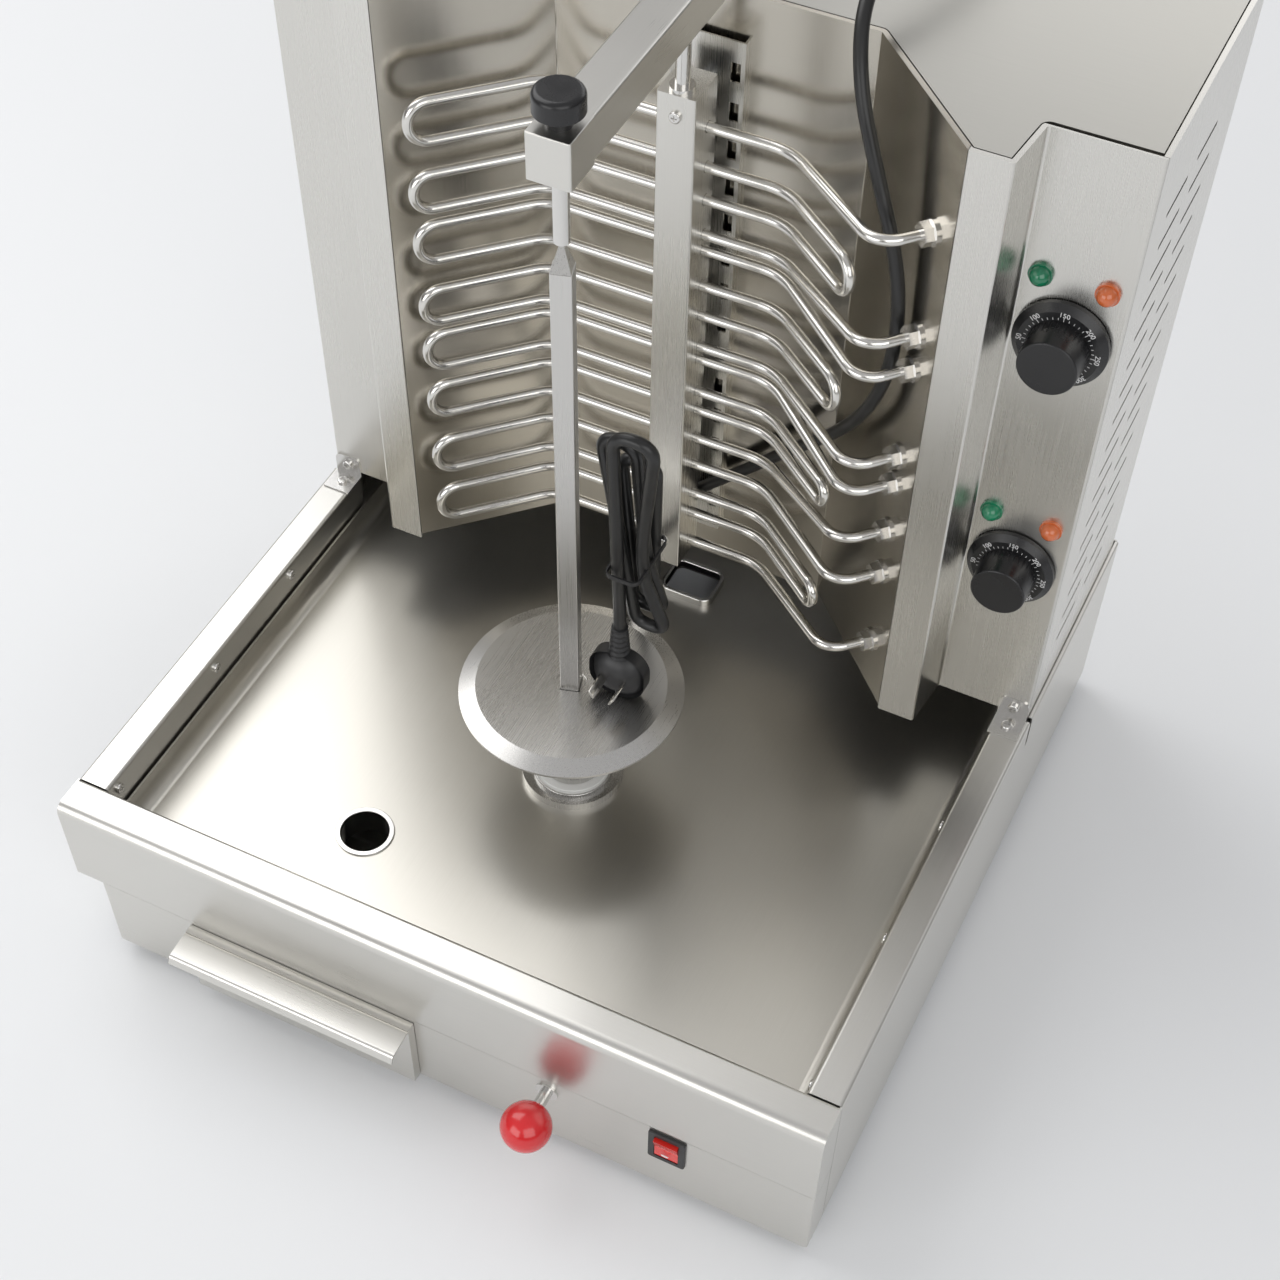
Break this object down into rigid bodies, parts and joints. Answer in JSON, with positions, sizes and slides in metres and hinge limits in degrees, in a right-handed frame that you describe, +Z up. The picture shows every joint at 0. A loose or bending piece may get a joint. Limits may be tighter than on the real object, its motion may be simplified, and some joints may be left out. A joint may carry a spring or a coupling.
{
  "type": "electric doner kebab grill",
  "caption": "Upright kebab grill: steel base with drip deck and grease drawer, heated niche with element tubes, turning disc with square spit, top arm with lift-out pin.",
  "frame": {"origin": "on the table, at the middle of the footprint that the base, drawer lip and lever ball cover", "axes": "+Z up, +X to the right as seen by the user, the front with switch and drawer faces -Y"},
  "size_m": [0.53, 0.6482, 0.6407],
  "materials": {
    "brushed_sheet": "brushed",
    "polished_sheet": "bright annealed",
    "element_tube": "bright satin",
    "bright_fittings": "polished",
    "spit_steel": "satin",
    "black_knob": "smooth",
    "black_plastic": "satin",
    "red_ball": "polished",
    "red_rocker": "polished",
    "green_lens": "clear",
    "orange_lens": "clear",
    "black_rubber": "matte",
    "white_nylon": "satin",
    "zinc_steel": "zinc plated",
    "gear_brass": "machined",
    "cord_jacket": "satin",
    "terminal_plastic": "matte"
  },
  "bodies": {
    "frame": {"arm_clamp": "brushed_sheet", "arm_head": "bright_fittings", "arm_post": "bright_fittings", "base_plate": "zinc_steel", "base_rear_panel": "brushed_sheet", "bearing_housing": "zinc_steel", "cabinet_back": "brushed_sheet", "cabinet_sides": "brushed_sheet", "channel_foot_rim": "bright_fittings", "channel_spacers": "zinc_steel", "control_panel": "brushed_sheet", "cord_gland": "black_plastic", "cord_hank": "cord_jacket", "cord_tie": "black_plastic", "corner_brackets": "brushed_sheet", "deck_collar": "bright_fittings", "deck_pan": "brushed_sheet", "drain_ring": "bright_fittings", "drawer_runners": "zinc_steel", "element_nuts": "bright_fittings", "front_apron": "brushed_sheet", "front_channel": "brushed_sheet", "green_lamps": "green_lens", "heating_elements": "element_tube", "left_front_panel": "brushed_sheet", "left_side_panel": "brushed_sheet", "lever_bush": "black_plastic", "lower_front_panel": "brushed_sheet", "mains_cord": "cord_jacket", "mains_plug": "cord_jacket", "motor_stand": "zinc_steel", "niche_liner": "polished_sheet", "nylon_washer": "white_nylon", "orange_lamps": "orange_lens", "rear_channel": "zinc_steel", "right_side_panel": "brushed_sheet", "roof_plate": "brushed_sheet", "rubber_feet": "black_rubber", "sheet_screws": "bright_fittings", "support_arm": "brushed_sheet", "switch_body": "black_plastic", "terminal_block": "terminal_plastic", "thermostats": "black_plastic"},
    "spit": {"spit_rod": "spit_steel", "spit_disc": "spit_steel", "spit_hub": "spit_steel", "drive_shaft": "zinc_steel", "driven_gear": "gear_brass"},
    "top_pin_body": {"top_pin": "bright_fittings", "pull_knob": "black_knob"},
    "drive_carriage": {"motor_plate": "zinc_steel", "gear_motor": "black_plastic", "lever_rod": "bright_fittings", "lever_ball": "red_ball"},
    "pinion_body": {"motor_pinion": "gear_brass"},
    "rocker": {"switch_rocker": "red_rocker"},
    "upper_dial_body": {"upper_dial": "black_knob"},
    "lower_dial_body": {"lower_dial": "black_knob"},
    "drawer": {"drawer_front": "brushed_sheet", "drawer_tray": "brushed_sheet"}
  },
  "joints": [
    {"name": "spit_spin", "type": "hinge", "parent": "frame", "child": "spit", "pos_m": [0, -0.03825, 0.2], "axis": [0, 0, 1], "continuous": true},
    {"name": "pin_lift", "type": "slide", "parent": "frame", "child": "top_pin_body", "axis": [0, 0, 1], "range_m": [0, 0.025]},
    {"name": "clutch_pull", "type": "slide", "parent": "frame", "child": "drive_carriage", "axis": [0, -1, 0], "range_m": [0, 0.015]},
    {"name": "pinion_spin", "type": "hinge", "parent": "drive_carriage", "child": "pinion_body", "pos_m": [0, -0.09035, 0.088], "axis": [0, 0, 1], "continuous": true},
    {"name": "rocker_tilt", "type": "hinge", "parent": "frame", "child": "rocker", "pos_m": [0.168, -0.23725, 0.061], "axis": [1, 0, 0], "range_deg": [-16, 0]},
    {"name": "upper_dial_turn", "type": "hinge", "parent": "frame", "child": "upper_dial_body", "pos_m": [0.23, 0.08475, 0.46], "axis": [0, 1, 0], "range_deg": [0, 270]},
    {"name": "lower_dial_turn", "type": "hinge", "parent": "frame", "child": "lower_dial_body", "pos_m": [0.23, 0.08475, 0.285], "axis": [0, 1, 0], "range_deg": [0, 270]},
    {"name": "drawer_slide", "type": "slide", "parent": "frame", "child": "drawer", "axis": [0, -1, 0], "range_m": [0, 0.13]}
  ],
  "couplings": [
    {"joint": "pinion_spin", "follows": "spit_spin", "ratio": -3.3333}
  ]
}
